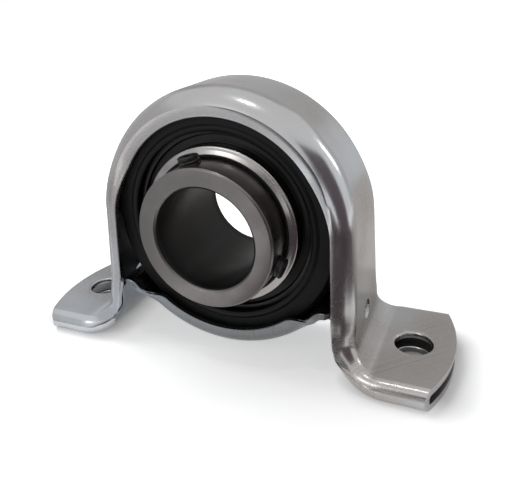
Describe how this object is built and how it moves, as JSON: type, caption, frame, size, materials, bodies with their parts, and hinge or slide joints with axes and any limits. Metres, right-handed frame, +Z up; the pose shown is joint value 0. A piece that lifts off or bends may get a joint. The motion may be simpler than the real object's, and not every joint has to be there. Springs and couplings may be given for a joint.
{
  "type": "carrier bearing",
  "caption": "Pressed-steel pillow block bearing: a self-aligning ball bearing insert with set screws, held in a rubber ring between two bolted sheet straps.",
  "frame": {"origin": "on the underside of the feet, midway between the two bolt holes, below the shaft axis at the ball plane", "axes": "+X along the bolt line to the foot with the lower set screw's side, +Y along the shaft axis towards the short end of the inner ring, +Z up from the mounting face; the long end of the inner ring points to -Y"},
  "size_m": [0.1334, 0.0442, 0.0815],
  "materials": {
    "zinc_steel": "thin bright zinc plating on pressed sheet",
    "rubber": "matte moulded black rubber",
    "bearing_steel": "ground, dark with oil",
    "ground_steel": "fine ground bearing steel",
    "ball_steel": "polished",
    "cage_steel": "pressed strip, oiled",
    "shell_steel": "smooth pressed shell with handling marks",
    "seal_rubber": "moulded lip",
    "black_steel": "black oxide"
  },
  "bodies": {
    "housing": {"upper_strap": "zinc_steel", "lower_strap": "zinc_steel", "rubber_ring": "rubber"},
    "insert": {"outer_ring": "bearing_steel", "front_seal_shell": "shell_steel", "front_seal_lip": "seal_rubber", "rear_seal_shell": "shell_steel", "rear_seal_lip": "seal_rubber"},
    "shaft_ring": {"inner_ring": "ground_steel"},
    "ball_set": {"ball_1": "ball_steel", "ball_2": "ball_steel", "ball_3": "ball_steel", "ball_4": "ball_steel", "ball_5": "ball_steel", "ball_6": "ball_steel", "ball_7": "ball_steel", "ball_8": "ball_steel", "ball_9": "ball_steel", "cage_front": "cage_steel", "cage_rear": "cage_steel", "cage_rivets": "cage_steel"},
    "screw_1": {"set_screw_1": "black_steel"},
    "screw_2": {"set_screw_2": "black_steel"}
  },
  "joints": [
    {"name": "insert_tilt", "type": "hinge", "parent": "housing", "child": "insert", "pos_m": [0, 0, 0.0418], "axis": [1, 0, 0], "range_deg": [-2, 2]},
    {"name": "shaft_spin", "type": "hinge", "parent": "insert", "child": "shaft_ring", "pos_m": [0, 0, 0.0418], "axis": [0, 1, 0], "continuous": true},
    {"name": "cage_spin", "type": "hinge", "parent": "insert", "child": "ball_set", "pos_m": [0, 0, 0.0418], "axis": [0, 1, 0], "continuous": true},
    {"name": "set_screw_1_slide", "type": "slide", "parent": "shaft_ring", "child": "screw_1", "axis": [-0.2079, 0, 0.9781], "range_m": [-0.0002, 0.0025]},
    {"name": "set_screw_2_slide", "type": "slide", "parent": "shaft_ring", "child": "screw_2", "axis": [0.9511, 0, -0.309], "range_m": [-0.0002, 0.0025]}
  ],
  "couplings": [
    {"joint": "cage_spin", "follows": "shaft_spin", "ratio": 0.3965}
  ]
}
